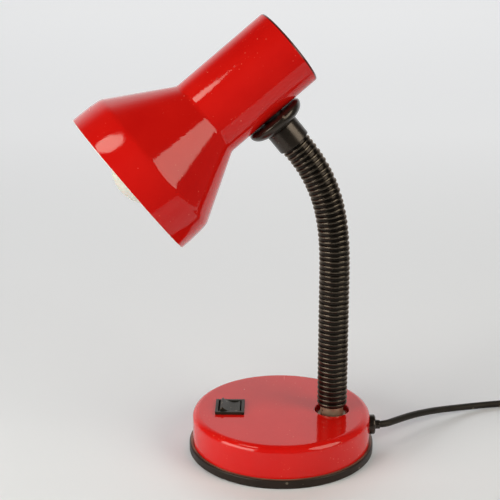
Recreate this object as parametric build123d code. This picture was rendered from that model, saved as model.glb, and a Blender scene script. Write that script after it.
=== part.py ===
from build123d import *
import math
import os

# Gooseneck desk lamp. Millimetres, +Z up, origin at the centre of the foot on the table.
# +X runs from the rocker switch to the neck and the cord, and the shade hangs over towards -X.

# Fits and clearances
overrun = 2.0
moving_clearance = 0.3
running_clearance = 0.06
seat_clearance = 0.1
screw_clearance = 0.05
hole_clearance = 0.3

# Foot tray
foot_radius = 70.0
foot_height = 7.0
tray_floor = 3.0
tray_rim_clearance = 0.2
tray_edge_radius = 1.4

# Pressed drum of the base
foot_proud = 2.7
drum_radius = foot_radius - foot_proud
base_height = 31.6
sheet = 1.2
shoulder_radius = 8.0

# Neck seat pressed into the drum's top
neck_x = 38.4
neck_sink = 2.5
cup_clearance = 4.2
cup_lip_radius = 0.8

# Cast weight and the posts that clamp it
weight_margin = 6.1
weight_radius = drum_radius - sheet - weight_margin
base_room = 19.6
weight_edge = 1.5
post_margin = 10.0
post_circle = weight_radius - post_margin
post_angles = (90.0, 225.0, 315.0)
post_radius = 5.0
screw_radius = 2.0
screw_head_radius = 2 * screw_radius
screw_head_height = 1.6
screw_recess_depth = 2.0
screw_reach = 8.0
screw_slot_width = 0.9
screw_slot_depth = 0.7

# Rocker switch
switch_x = -39.0
bezel_height = 2.2
bezel_edge = 0.8
switch_depth = 13.0
switch_floor = 3.0
rocker_radius = 8.2
rocker_width = 17.6
rocker_gap = 0.4
bezel_side = 2.4
bezel_end = 2.8
bezel_length = 2 * (rocker_radius + rocker_gap + bezel_side)
bezel_width = rocker_width + 2 * (rocker_gap + bezel_end)
rocker_crest = 4.6
rocker_valley = 2.5
rocker_keel = 3.4
rocker_pivot_drop = 0.9
rocker_tilt = 12.0
rocker_pin_radius = 1.2
rocker_pin_length = 1.5
terminal_width = 4.8
terminal_thickness = 0.8
terminal_length = 7.0
terminal_offset = 5.0

# Cord, grommet and clamp
cord_diameter = 5.3
cord_exit_drop = 12.3
cord_exit_z = base_height - cord_exit_drop
grommet_wall = 2.75
grommet_neck_radius = cord_diameter / 2 + grommet_wall
grommet_lip = 2.1
grommet_flange_radius = grommet_neck_radius + grommet_lip
grommet_flange_thickness = 4.3
grommet_flange_edge = 1.6
grommet_sleeve_wall = 0.65
grommet_sleeve_length = 3.6
grommet_inner_lip = 1.2
grommet_inner_radius = grommet_neck_radius + grommet_inner_lip
grommet_inner_thickness = 2.0
clamp_length = 7.0
clamp_width = 24.0
clamp_strap = 2.0
clamp_screw_spacing = 16.0
clamp_screw_radius = 1.5
clamp_head_radius = 2.8
clamp_head_height = 1.6
clamp_standoff = 1.4

# Terminal block and wires in the base
block_x = -2.0
block_y = 24.0
block_length = 24.0
block_width = 16.0
block_height = 11.0
block_barrel_radius = 3.6
block_bore_radius = 2.0
wire_radius = 0.9
wire_spacing = 2.4
wire_rise = 2.6

# Ribbed flexible neck
links = 19
ribs_per_link = 3
link_length = 11.45
crest_radius = 11.3
rib_depth = 0.7
link_wall = 0.55
lip_clearance = 0.7
lip_wall = 1.5
lip_height = 2.4
root_width_share = 0.5
tilt_allowed = 8.6
root_radius = crest_radius - rib_depth
socket_radius = root_radius - link_wall
lip_radius = socket_radius - lip_clearance
neck_bore_radius = lip_radius - lip_wall
neck_lean = 39.1
bend_first = 11
bend_ramp = 6

# Neck foot, ferrule and nut
neck_cable_diameter = 5.3
cable_clearance = 0.55
stud_wall = 1.8
stud_bore_radius = neck_cable_diameter / 2 + cable_clearance
stud_radius = stud_bore_radius + stud_wall
stud_past_nut = 1.5
foot_flange_thickness = 1.2
flange_margin = 2.2
ferrule_wall = 0.8
ferrule_radius = neck_bore_radius + ferrule_wall
ferrule_rise = 4.7
cup_radius = ferrule_radius + cup_clearance
foot_flange_radius = cup_radius - flange_margin
washer_radius = 12.0
washer_thickness = 1.5
nut_margin = 4.6
nut_radius = stud_radius + nut_margin
nut_height = 5.0

# Collar, swivel and dome
collar_step = 1.0
collar_radius = crest_radius + collar_step
collar_length = 16.5
collar_edge = 0.7
collar_top_wall = 4.0
small_nut_margin = 3.0
small_nut_radius = stud_radius + small_nut_margin
small_nut_height = 4.5
dome_radius = 22.0
dome_height = 9.1
dome_inset = 0.5
dome_flat_radius = collar_radius - dome_inset
dome_roll = 4.5
dome_roll_height = 2.3
dome_rim_gap = 0.3
spacer_wall = 3.0
spacer_seat = 1.5
spacer_radius = stud_radius + spacer_wall

# Shade
shade_turn = 13.1
shade_wall = 1.0
tube_radius = 30.1
tube_back = 41.0
tube_front = 38.2
back_crown = 0.9
back_edge_radius = 1.8
cone_length = 47.1
crease_radius = 57.7
skirt_length = 24.1
mouth_radius = 59.1
nipple_hole_radius = stud_radius + 2 * seat_clearance

# Lamp holder
bracket_width = 14.0
bracket_thickness = 1.5
bracket_front = 8.5
bracket_back = 16.0
bracket_past_axis = 8.5
nipple_washer_radius = small_nut_radius + dome_inset
nipple_washer_thickness = 1.0
nipple_thread_end = 1.0
holder_lead_room = 6.3
holder_nut_clearance = 0.5
holder_flare = 4.0
holder_front = 46.0
holder_pocket = 14.0
holder_shell_wall = 0.6
holder_shell_clearance = 1.25
holder_wall = 3.8
holder_shell_front = 41.0
holder_contact_width = 7.0
holder_contact_thickness = 0.6
holder_contact_length = 12.0
holder_stud_radius = 4.9
holder_stud_head = 4.0
holder_stud_reach = 6.0
lead_radius = 1.0
lead_spacing = 4.0

# Screw-in bulb
contact_rise = 3.4
bulb_radius = 27.5
bulb_length = 98.0
bulb_neck_radius = 15.0
bulb_meet_angle = 40.0
bulb_wall = 0.7
cap_radius = 13.25
holder_mouth_radius = cap_radius + holder_shell_clearance + holder_shell_wall + seat_clearance
holder_radius = holder_mouth_radius + holder_wall
cap_length = 25.0
cap_end_radius = 7.0
cap_taper = 4.0
stem_radius = 9.0
stem_neck_radius = 3.2
stem_length = 30.0
support_radius = 0.35
support_spread = 12.0
support_length = 22.0
filament_radius = 0.3

# Put-away coil of the cord, its tie and its plug
coil_x = 243.0
coil_y = 38.6
coil_turn_gap = 0.5
coil_reverse_step = 3.6
coil_inner_radius = 21.2
coil_half_turns_in = 7
coil_half_turns_out = 6
coil_layer_gap = 0.6
coil_lead = 13.7
tail_level = 18.0
tail_drop_run = 12.0
tail_end = 10.0
tie_clearance = 0.4
tie_thickness = 0.8
tie_width = 6.0
tie_floor_gap = 0.05
tie_head_length = 5.0
plug_length = 34.0
plug_width = 25.0
plug_thickness = 14.0
plug_edge = 3.0
plug_waist_share = 0.62
plug_sleeve_length = 20.0
plug_sleeve_wall = 2.55
plug_sleeve_tip_wall = 0.75
plug_pin_radius = 2.0
plug_pin_spacing = 18.6
plug_pin_length = 19.0
plug_pin_tip = 0.7

# Route of the free cord over the table, from the grommet to the coil
cord_stub = 7.0
cord_corner_share = 0.45
cord_route = [
    (88.0, 9.5, 18.3),
    (102.5, 25.5, 15.6),
    (119.0, 42.5, 11.2),
    (137.0, 57.5, 6.6),
    (157.0, 69.5, 3.4),
    (181.0, 76.5, 2.75),
    (206.0, 79.6, 2.75),
]

cord_radius = cord_diameter / 2
up = (0, 0, 1)
os.makedirs("parts", exist_ok=True)


def save(name, *solids):
    shape = solids[0] if len(solids) == 1 else Compound(children=list(solids))
    export_step(shape, f"parts/{name}.step")


def disc(radius, bottom, top):
    return Pos(0, 0, bottom) * Cylinder(radius, top - bottom, align=(Align.CENTER, Align.CENTER, Align.MIN))


def ring(outer, inner, bottom, top):
    return disc(outer, bottom, top) - disc(inner, bottom - overrun, top + overrun)


def block(length, width, bottom, top):
    height = top - bottom
    return Pos(0, 0, bottom) * Box(length, width, height, align=(Align.CENTER, Align.CENTER, Align.MIN))


def hexagon(corner_radius, bottom, top):
    return extrude(Pos(0, 0, bottom) * RegularPolygon(corner_radius, 6), top - bottom)


def turned(points):
    """Solid of revolution about Z from (radius, height) points."""
    outline = Polyline(*[(r, 0, z) for r, z in points], close=True)
    return revolve(make_face(outline), Axis.Z)


def inset(points, amount):
    """The same open outline moved inwards, towards the axis, by one wall."""
    sides = []
    for (r0, z0), (r1, z1) in zip(points, points[1:]):
        span = math.hypot(r1 - r0, z1 - z0)
        sides.append(((z0 - z1) / span, (r1 - r0) / span))
    moved = []
    for i, (r, z) in enumerate(points):
        before = sides[max(i - 1, 0)]
        after = sides[min(i, len(sides) - 1)]
        scale = amount / (1 + before[0] * after[0] + before[1] * after[1])
        moved.append((r + scale * (before[0] + after[0]), z + scale * (before[1] + after[1])))
    return moved


def rod(path, radius):
    """Round section swept along a path from its own start."""
    start = Plane(origin=path @ 0, z_dir=path % 0)
    return sweep(start * Circle(radius), path=path)


def corner_radii(points):
    radii = []
    for a, b, c in zip(points, points[1:], points[2:]):
        first = Vector(*b) - Vector(*a)
        second = Vector(*c) - Vector(*b)
        half_turn = math.radians(first.get_angle(second)) / 2
        radii.append(cord_corner_share * min(first.length, second.length) / math.tan(half_turn))
    return radii


def bent_rod(points, radius):
    return rod(FilletPolyline(*points, radius=corner_radii(points)), radius)


def end_gap(radius):
    """Room left at each end of a neck link, at one radius, for the largest tilt of its neighbour."""
    return radius * math.tan(math.radians(tilt_allowed / 2)) + moving_clearance / 2


# Base: foot tray, drum, weight, posts and screws

drum_inner = drum_radius - sheet
top_underside = base_height - sheet
weight_top = base_height - base_room
post_places = [Pos(*Vector(post_circle, 0, 0).rotate(Axis.Z, a)) for a in post_angles]
switch_at = Pos(switch_x, 0, 0)
neck_at = Pos(neck_x, 0, 0)
neck_start_z = base_height - neck_sink
flange_top = neck_start_z - end_gap(lip_radius)
cup_floor = flange_top - foot_flange_thickness
switch_hole_length = bezel_length - 2 * bezel_edge
switch_hole_width = bezel_width - 2 * bezel_edge


def foot_tray():
    tray = disc(foot_radius, 0, foot_height)
    tray = fillet(tray.edges().group_by(Axis.Z)[-1], tray_edge_radius)
    tray = chamfer(tray.edges().group_by(Axis.Z)[0], tray_edge_radius / 2)
    tray -= disc(drum_radius + tray_rim_clearance, tray_floor, foot_height + overrun)
    for place in post_places:
        tray -= place * disc(screw_radius + hole_clearance, -overrun, tray_floor + overrun)
        tray -= place * disc(screw_head_radius + hole_clearance, -overrun, screw_recess_depth)
    return tray


def along_x(radius, start, end):
    """Cylinder along X at the height of the cord's way out of the base."""
    return Pos(start, 0, cord_exit_z) * Rot(0, 90, 0) * disc(radius, 0, end - start)


def drum_solid(depth):
    """The drum's outside as a full solid, moved inwards by a depth."""
    solid = disc(drum_radius - depth, tray_floor - abs(depth), base_height - depth)
    return fillet(solid.edges().group_by(Axis.Z)[-1], shoulder_radius - depth)


def drum():
    shell = drum_solid(0) - drum_solid(sheet)
    shell += neck_at * disc(cup_radius + sheet, cup_floor - sheet, top_underside + sheet / 2)
    shell -= neck_at * disc(cup_radius, cup_floor, base_height + overrun)
    round_edges = shell.edges().filter_by(GeomType.CIRCLE)
    rim = round_edges.filter_by(lambda e: abs(e.radius - cup_radius) < seat_clearance)
    shell = fillet(rim.group_by(Axis.Z)[-1], cup_lip_radius)
    shell -= neck_at * disc(stud_radius + seat_clearance, cup_floor - sheet - overrun, base_height)
    window = block(switch_hole_length, switch_hole_width, top_underside - overrun, base_height + overrun)
    cord_hole = along_x(grommet_neck_radius + seat_clearance, drum_inner - overrun, drum_radius + overrun)
    return shell - switch_at * window - cord_hole


def weight():
    plate = disc(weight_radius, tray_floor, weight_top)
    plate = chamfer(plate.edges().group_by(Axis.Z)[-1], weight_edge)
    for place in post_places:
        plate -= place * disc(screw_radius + hole_clearance, 0, weight_top + overrun)
    plate -= switch_at * block(bezel_length, bezel_width, 0, weight_top + overrun)
    plate -= neck_at * disc(washer_radius, 0, weight_top + overrun)
    return plate


def post():
    pillar = disc(post_radius, weight_top, top_underside)
    hole_top = weight_top + screw_reach + overrun
    return pillar - disc(screw_radius + screw_clearance, weight_top - overrun, hole_top)


def tray_screw():
    head_bottom = screw_recess_depth - screw_head_height
    screw = disc(screw_head_radius, head_bottom, screw_recess_depth)
    screw += disc(screw_radius, screw_recess_depth, weight_top + screw_reach)
    slot = block(2 * screw_head_radius, screw_slot_width, head_bottom, head_bottom + screw_slot_depth)
    return screw - slot


save("base_tray", foot_tray())
save("base_housing", drum())
save("base_weight", weight())
save("housing_posts", *[place * post() for place in post_places])
save("tray_screws", *[place * tray_screw() for place in post_places])

# Rocker switch: body with its bezel, rocker with its pivot pins, blade terminals

pivot_z = base_height - rocker_pivot_drop
window_length = 2 * (rocker_radius + rocker_gap)
window_width = rocker_width + 2 * rocker_gap
switch_bottom = base_height - switch_depth
pocket_floor = switch_bottom + switch_floor


def switch_body():
    body = block(bezel_length, bezel_width, base_height, base_height + bezel_height)
    body = chamfer(body.edges().group_by(Axis.Z)[-1], bezel_edge)
    case_length = switch_hole_length - 2 * seat_clearance
    case_width = switch_hole_width - 2 * seat_clearance
    body += block(case_length, case_width, switch_bottom, base_height)
    body -= block(window_length, window_width, pocket_floor, base_height + bezel_height + overrun)
    pin_span = rocker_width + 2 * rocker_pin_length + 2 * seat_clearance
    body -= Pos(0, 0, pivot_z) * Rot(90, 0, 0) * Cylinder(rocker_pin_radius + running_clearance, pin_span)
    return switch_at * body


def rocker():
    left = (-math.sqrt(rocker_radius**2 - rocker_crest**2), rocker_crest)
    right = (-left[0], rocker_crest)
    keel = math.sqrt(rocker_radius**2 - rocker_keel**2)
    outline = Curve() + [
        ThreePointArc(left, (0, rocker_valley), right),
        ThreePointArc(right, (rocker_radius, 0), (keel, -rocker_keel)),
        Line((keel, -rocker_keel), (-keel, -rocker_keel)),
        ThreePointArc((-keel, -rocker_keel), (-rocker_radius, 0), left),
    ]
    paddle = extrude(Plane.XZ * make_face(outline), rocker_width / 2, both=True)
    pin_span = rocker_width + 2 * rocker_pin_length
    paddle += Rot(90, 0, 0) * Cylinder(rocker_pin_radius, pin_span)
    return Pos(switch_x, 0, pivot_z) * Rot(0, rocker_tilt, 0) * paddle


def terminals():
    blade = block(terminal_thickness, terminal_width, switch_bottom - terminal_length, switch_bottom)
    return [switch_at * Pos(side * terminal_offset, 0, 0) * blade for side in (-1, 1)]


save("switch_body", switch_body())
save("switch_rocker", rocker())
save("switch_terminals", *terminals())

# Cord entry: grommet in the drum wall, clamp on the weight, cord end inside the base

grommet_face = drum_radius + grommet_flange_thickness
clamp_x = drum_inner - grommet_inner_thickness - clamp_standoff - clamp_length / 2
cord_inner_end = clamp_x - clamp_length / 2 - clamp_standoff
cord_bore = cord_radius + screw_clearance


def grommet():
    flange = along_x(grommet_flange_radius, drum_radius - sheet, grommet_face)
    flange = fillet(flange.edges().group_by(Axis.X)[-1], grommet_flange_edge)
    flange -= drum_solid(-screw_clearance)
    inner_flange = along_x(grommet_inner_radius, drum_inner - grommet_inner_thickness, drum_inner)
    inner_flange &= drum_solid(sheet + screw_clearance)
    neck = along_x(grommet_neck_radius, drum_inner - grommet_inner_thickness, drum_radius + sheet)
    sleeve_end = grommet_face + grommet_sleeve_length
    sleeve = along_x(cord_radius + grommet_sleeve_wall, drum_radius, sleeve_end)
    body = flange + neck + inner_flange + sleeve
    return body - along_x(cord_bore, 0, sleeve_end + overrun)


def clamp():
    cradle = block(clamp_length, clamp_width, weight_top, cord_exit_z - screw_clearance)
    strap = block(clamp_length, clamp_width, cord_exit_z, cord_exit_z + cord_radius + clamp_strap)
    pair = []
    for piece in (cradle, strap):
        piece = Pos(clamp_x, 0, 0) * piece - along_x(cord_bore, 0, drum_radius)
        for side in (-1, 1):
            hole = disc(clamp_screw_radius + screw_clearance, weight_top + clamp_strap, base_height)
            piece -= Pos(clamp_x, side * clamp_screw_spacing / 2, 0) * hole
        pair.append(piece)
    return pair


def clamp_screws():
    seat = cord_exit_z + cord_radius + clamp_strap
    screw = disc(clamp_screw_radius, weight_top + 2 * clamp_strap, seat)
    screw += disc(clamp_head_radius, seat, seat + clamp_head_height)
    return [Pos(clamp_x, side * clamp_screw_spacing / 2, 0) * screw for side in (-1, 1)]


def terminal_block():
    body = block(block_length, block_width, weight_top, weight_top + block_height / 2)
    for side in (-1, 1):
        barrel = Rot(0, 90, 0) * Cylinder(block_barrel_radius, block_length)
        place = Pos(0, side * block_width / 4, weight_top + block_height / 2)
        body += place * barrel
        body -= place * Rot(0, 90, 0) * Cylinder(block_bore_radius, block_length + overrun)
    return Pos(block_x, block_y, 0) * body


save("cord_grommet", grommet())
save("cord_clamp", *clamp())
save("clamp_screws", *clamp_screws())
save("terminal_block", terminal_block())
save("base_cord", along_x(cord_radius, cord_inner_end, grommet_face))

# Ribbed neck: pivots up the middle line, one frame per link


def neck_frames():
    """Frames of the links from the base up, each at its lower pivot, and last the collar's."""
    shares = [min(max(k - bend_first + 1, 0) / bend_ramp, 1) for k in range(1, links + 1)]
    place = Vector(neck_x, 0, neck_start_z)
    lean = 0.0
    frames = []
    for share in shares:
        lean += math.radians(neck_lean) * share / sum(shares)
        axis = Vector(-math.sin(lean), 0, math.cos(lean))
        frames.append(Plane(origin=place, x_dir=(math.cos(lean), 0, math.sin(lean)), z_dir=axis))
        place = place + axis * link_length
    last = frames[-1]
    frames.append(Plane(origin=place, x_dir=last.x_dir, z_dir=last.z_dir))
    return frames


def neck_link():
    pitch = link_length / ribs_per_link
    socket_depth = lip_height + lip_radius * math.tan(math.radians(tilt_allowed)) + moving_clearance
    crest_gap = end_gap(crest_radius)
    root_gap = crest_gap * root_width_share
    outline = [(socket_radius, end_gap(socket_radius)), (crest_radius, crest_gap)]
    for groove in range(1, ribs_per_link):
        middle = groove * pitch
        outline += [
            (crest_radius, middle - crest_gap),
            (root_radius, middle - root_gap),
            (root_radius, middle + root_gap),
            (crest_radius, middle + crest_gap),
        ]
    outline += [
        (crest_radius, link_length - crest_gap),
        (lip_radius, link_length - end_gap(lip_radius)),
        (lip_radius, link_length + lip_height),
        (neck_bore_radius, link_length + lip_height),
        (neck_bore_radius, socket_depth),
        (socket_radius, socket_depth),
    ]
    return turned(outline)


frames = neck_frames()
collar_frame = frames[-1]
ferrule_top = base_height + ferrule_rise
one_link = neck_link()
# The lowest link ends where it stands on the ferrule
lowest_link = one_link - disc(crest_radius + overrun, -overrun, ferrule_top - neck_start_z)
for number, frame in enumerate(frames[:-1], start=1):
    link = lowest_link if number == 1 else one_link
    save(f"neck_link_{number:02d}", frame.location * link)

# Neck foot: flanged stud in the drum's cup, ferrule on its flange, washer and nut below

seat_underside = cup_floor - sheet
washer_bottom = seat_underside - washer_thickness
stud_end = washer_bottom - nut_height - stud_past_nut


def neck_foot():
    foot = disc(stud_radius, stud_end, cup_floor)
    foot += disc(foot_flange_radius, cup_floor, flange_top)
    return neck_at * (foot - disc(stud_bore_radius, stud_end - overrun, neck_start_z))


neck_ferrule = ring(ferrule_radius, neck_bore_radius, flange_top, ferrule_top)
neck_washer = ring(washer_radius, stud_radius + seat_clearance, washer_bottom, seat_underside)
neck_locknut = hexagon(nut_radius, washer_bottom - nut_height, washer_bottom)
neck_locknut -= disc(stud_radius + screw_clearance, 0, base_height)
save("neck_foot", neck_foot())
save("neck_ferrule", neck_at * neck_ferrule)
save("neck_washer", neck_at * neck_washer)
save("neck_locknut", neck_at * neck_locknut)

# Collar at the neck's end, and the swivel of the head on it

dome_bottom = collar_length + moving_clearance
dome_rim = dome_bottom + dome_height
shade_distance = dome_rim + dome_rim_gap + tube_radius
bracket_outside = shade_distance - math.sqrt((tube_radius - shade_wall) ** 2 - (bracket_width / 2) ** 2)
bracket_inside = bracket_outside + bracket_thickness
nut_seat = bracket_inside + nipple_washer_thickness
nipple_top = nut_seat + small_nut_height + nipple_thread_end
swivel_nut_top = collar_length - collar_top_wall - moving_clearance
swivel_nut_bottom = swivel_nut_top - small_nut_height
nipple_bottom = swivel_nut_bottom - nipple_thread_end


def collar():
    sleeve = disc(collar_radius, end_gap(crest_radius), collar_length)
    sleeve = fillet(sleeve.edges().filter_by(GeomType.CIRCLE), collar_edge)
    sleeve -= disc(socket_radius, -overrun, collar_length - collar_top_wall)
    sleeve -= disc(stud_radius + running_clearance, 0, collar_length + overrun)
    return collar_frame.location * sleeve


def dome_cap():
    """Knob that swells from the collar to its widest line and rolls over to a flat top under the shade."""
    widest = dome_rim - dome_roll_height
    rise = widest - dome_bottom
    top_flat = dome_radius - dome_roll
    swell = dome_radius - dome_flat_radius
    outline = Curve() + [
        Line((0, dome_bottom), (dome_flat_radius, dome_bottom)),
        EllipticalCenterArc((dome_flat_radius, widest), swell, rise, start_angle=270, arc_size=90),
        EllipticalCenterArc((top_flat, widest), dome_roll, dome_roll_height, start_angle=0, arc_size=90),
        Line((top_flat, dome_rim), (0, dome_rim)),
        Line((0, dome_rim), (0, dome_bottom)),
    ]
    cap = revolve(make_face(Plane.XZ * outline), Axis.Z)
    cap -= disc(spacer_radius + seat_clearance, dome_rim - spacer_seat, dome_rim + overrun)
    return cap - disc(stud_radius + seat_clearance, 0, dome_rim + overrun)


def head_spacer():
    """Saddle washer in the dome's top, hollowed to the shade's tube."""
    tube = ring(spacer_radius, stud_radius + seat_clearance, dome_rim - spacer_seat, shade_distance)
    return tube - Pos(0, 0, shade_distance) * tube_lengthways(tube_radius + screw_clearance)


def tube_lengthways(radius):
    """Cylinder round the shade's axis, as the collar's frame sees it before the shade is turned."""
    return Rot(0, 90, 0) * Cylinder(radius, 2 * (tube_back + tube_front))


head_turn = Rot(0, 0, shade_turn)
head_place = collar_frame.location * head_turn
swivel_nut = hexagon(small_nut_radius, swivel_nut_bottom, swivel_nut_top)
swivel_nut -= disc(stud_radius + screw_clearance, 0, collar_length)
nipple = ring(stud_radius, stud_bore_radius, nipple_bottom, nipple_top)
nipple_washer = ring(nipple_washer_radius, stud_radius + seat_clearance, bracket_inside, nut_seat)
nipple_nut = hexagon(small_nut_radius, nut_seat, nut_seat + small_nut_height)
nipple_nut -= disc(stud_radius + screw_clearance, 0, nipple_top + overrun)
save("neck_collar", collar())
save("swivel_nut", head_place * swivel_nut)
save("dome_cap", head_place * dome_cap())
save("head_spacer", head_place * head_spacer())
save("nipple", head_place * nipple)
save("nipple_washer", head_place * nipple_washer)
save("nipple_nut", head_place * nipple_nut)

# Cable up the neck, from the stud's end to the nipple's end


def neck_cable():
    straight_top = frames[bend_first - 1].origin
    bends = [frame.origin for frame in frames[bend_first:-1]]
    end = collar_frame.origin + collar_frame.z_dir * nipple_top
    points = [(neck_x, 0, stud_end), straight_top, *bends, end]
    return bent_rod([tuple(Vector(p)) for p in points], neck_cable_diameter / 2)


save("neck_cable", neck_cable())

# Shade and lamp holder, drawn with Z along the shade's axis to the mouth and X away from the collar

mouth = tube_front + cone_length + skirt_length
crease = tube_front + cone_length
shade_frame = Plane(
    origin=(head_place * Pos(0, 0, shade_distance)).position,
    x_dir=collar_frame.z_dir,
    z_dir=Vector(-collar_frame.x_dir).rotate(Axis((0, 0, 0), collar_frame.z_dir), shade_turn),
)
shade_place = shade_frame.location


def shade_solid(side, back, edge):
    """Full solid of revolution inside one skin of the shade, with a rounded and lightly crowned back."""
    radius = side[0][0]
    front_radius, front = side[-1]
    flat = radius - edge
    slant_share = math.sqrt(2) / 2
    corner_middle = (flat + edge * slant_share, 0, back + edge - edge * slant_share)
    crown_middle = (flat / 2, 0, back - back_crown * 3 / 4)
    outline = Curve() + [
        ThreePointArc((0, 0, back - back_crown), crown_middle, (flat, 0, back)),
        ThreePointArc((flat, 0, back), corner_middle, (radius, 0, back + edge)),
        Polyline((radius, 0, back + edge), *[(r, 0, z) for r, z in side[1:]]),
        Line((front_radius, 0, front), (0, 0, front)),
        Line((0, 0, front), (0, 0, back - back_crown)),
    ]
    return revolve(make_face(outline), Axis.Z)


def shade():
    side = [
        (tube_radius, -tube_back),
        (tube_radius, tube_front),
        (crease_radius, crease),
        (mouth_radius, mouth),
    ]
    lining = inset(side, shade_wall)
    solid = shade_solid(side, -tube_back, back_edge_radius)
    solid -= shade_solid(lining, shade_wall - tube_back, back_edge_radius - shade_wall)
    hole = Rot(0, 90, 0) * Cylinder(nipple_hole_radius, 4 * (shade_wall + overrun))
    return solid - Pos(-tube_radius, 0, 0) * hole


def at_wall(height):
    """Distance from the shade's axis of a height above the collar's pivot."""
    return height - shade_distance


def bracket():
    plate_middle = (at_wall(bracket_outside) + at_wall(bracket_inside)) / 2
    plate = block(bracket_thickness, bracket_width, -bracket_back, bracket_front)
    plate = Pos(plate_middle, 0, 0) * plate
    plate -= Rot(0, 90, 0) * Cylinder(stud_radius + seat_clearance, 2 * tube_radius)
    leg_length = bracket_past_axis - at_wall(bracket_outside)
    leg_middle = (bracket_past_axis + at_wall(bracket_outside)) / 2
    leg = Pos(leg_middle, 0, 0) * block(leg_length, bracket_width, -bracket_back, holder_back)
    leg -= disc(holder_stud_radius + seat_clearance, -bracket_back - overrun, bracket_thickness)
    return plate + leg


holder_back = bracket_thickness - bracket_back
holder_back_radius = -at_wall(nipple_top) - holder_lead_room
holder_step = nipple_washer_radius + holder_nut_clearance + holder_flare
bulb_base = holder_pocket + contact_rise
bulb_tip = bulb_base + bulb_length
shell_radius = holder_mouth_radius - seat_clearance


def holder_body():
    outline = [
        (0, holder_back),
        (holder_back_radius, holder_back),
        (holder_back_radius, holder_step - holder_flare),
        (holder_radius, holder_step),
        (holder_radius, holder_front),
        (holder_mouth_radius, holder_front),
        (holder_mouth_radius, holder_pocket),
        (0, holder_pocket),
    ]
    body = turned(outline)
    stud_hole_end = holder_back + holder_stud_reach
    return body - disc(holder_stud_radius + screw_clearance, holder_back - overrun, stud_hole_end)


def holder_shell():
    inner = shell_radius - holder_shell_wall
    return ring(shell_radius, inner, holder_pocket + holder_contact_thickness, holder_shell_front)


def holder_contact():
    foot_top = holder_pocket + holder_contact_thickness
    foot = block(holder_contact_length, holder_contact_width, holder_pocket, foot_top)
    return foot + disc(holder_contact_width / 4, holder_pocket, bulb_base - seat_clearance)


def holder_stud():
    head_top = -bracket_back
    stud = hexagon(holder_stud_radius + holder_stud_head / 2, head_top - holder_stud_head, head_top)
    return stud + disc(holder_stud_radius, head_top, holder_back + holder_stud_reach - overrun)


def leads():
    start = at_wall(nipple_top)
    turn = start + 2 * lead_radius
    end = -holder_back_radius - lead_radius
    pair = []
    for side in (-1, 1):
        y = side * lead_spacing / 2
        points = [(start, y, 0), (turn, y, 0), (end, y, -4 * lead_radius)]
        pair.append(bent_rod(points, lead_radius))
    return pair


save("shade", shade_place * shade())
save("holder_bracket", shade_place * bracket())
save("holder_body", shade_place * holder_body())
save("holder_shell", shade_place * holder_shell())
save("holder_contact", shade_place * holder_contact())
save("holder_stud", shade_place * holder_stud())
save("holder_leads", *[shade_place * lead for lead in leads()])

# Bulb

cap_top = bulb_base + cap_length
globe_middle = bulb_tip - bulb_radius


def bulb_side(inside):
    """Half section of the glass, from its seal in the cap to the tip, moved in by a wall."""
    globe = bulb_radius - inside
    neck = bulb_neck_radius - inside
    seal = cap_radius - seat_clearance - bulb_wall - inside
    flare = cap_top + seat_clearance
    # The neck's curve meets the globe a little below its middle
    meet = math.radians(bulb_meet_angle)
    joint = (globe * math.cos(meet), 0, globe_middle - globe * math.sin(meet))
    shoulder = (globe * math.cos(math.pi / 8), 0, globe_middle + globe * math.sin(math.pi / 8))
    tip = (0, 0, globe_middle + globe)
    return Curve() + [
        Line((0, 0, cap_top - cap_taper), (seal, 0, cap_top - cap_taper)),
        Line((seal, 0, cap_top - cap_taper), (seal, 0, flare)),
        Line((seal, 0, flare), (neck, 0, cap_top + cap_taper)),
        TangentArc((neck, 0, cap_top + cap_taper), joint, tangent=(0, 0, 1)),
        ThreePointArc(joint, shoulder, tip),
        Line(tip, (0, 0, cap_top - cap_taper)),
    ]


def bulb_glass():
    outside = revolve(make_face(bulb_side(0)), Axis.Z)
    hollow = revolve(make_face(bulb_side(bulb_wall)), Axis.Z)
    return outside - hollow


def bulb_cap():
    outline = [
        (0, bulb_base),
        (cap_end_radius / 2, bulb_base),
        (cap_end_radius / 2, bulb_base + seat_clearance),
        (cap_end_radius, bulb_base + seat_clearance),
        (cap_radius, bulb_base + cap_taper),
        (cap_radius, cap_top),
        (cap_radius - bulb_wall, cap_top),
        (cap_radius - bulb_wall, cap_top - 2 * cap_taper),
        (0, cap_top - 2 * cap_taper),
    ]
    return turned(outline)


def bulb_stem():
    bottom = cap_top - 2 * cap_taper
    shoulder = bottom + stem_length / 3
    top = bottom + stem_length
    stem = turned([
        (0, bottom),
        (stem_radius, bottom),
        (stem_neck_radius, shoulder),
        (stem_neck_radius, top),
        (0, top),
    ])
    tips = []
    for side in (-1, 1):
        foot = (side * stem_neck_radius / 2, 0, top - overrun)
        tip = (side * support_spread, 0, top + support_length)
        stem += rod(Line(foot, tip), support_radius)
        tips.append(tip)
    stem += rod(Line(*tips), filament_radius)
    return stem


save("bulb_glass", shade_place * bulb_glass())
save("bulb_cap", shade_place * bulb_cap())
save("bulb_stem", shade_place * bulb_stem())

# Wires in the base: cord to switch and block, switch to block, block to neck cable


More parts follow.
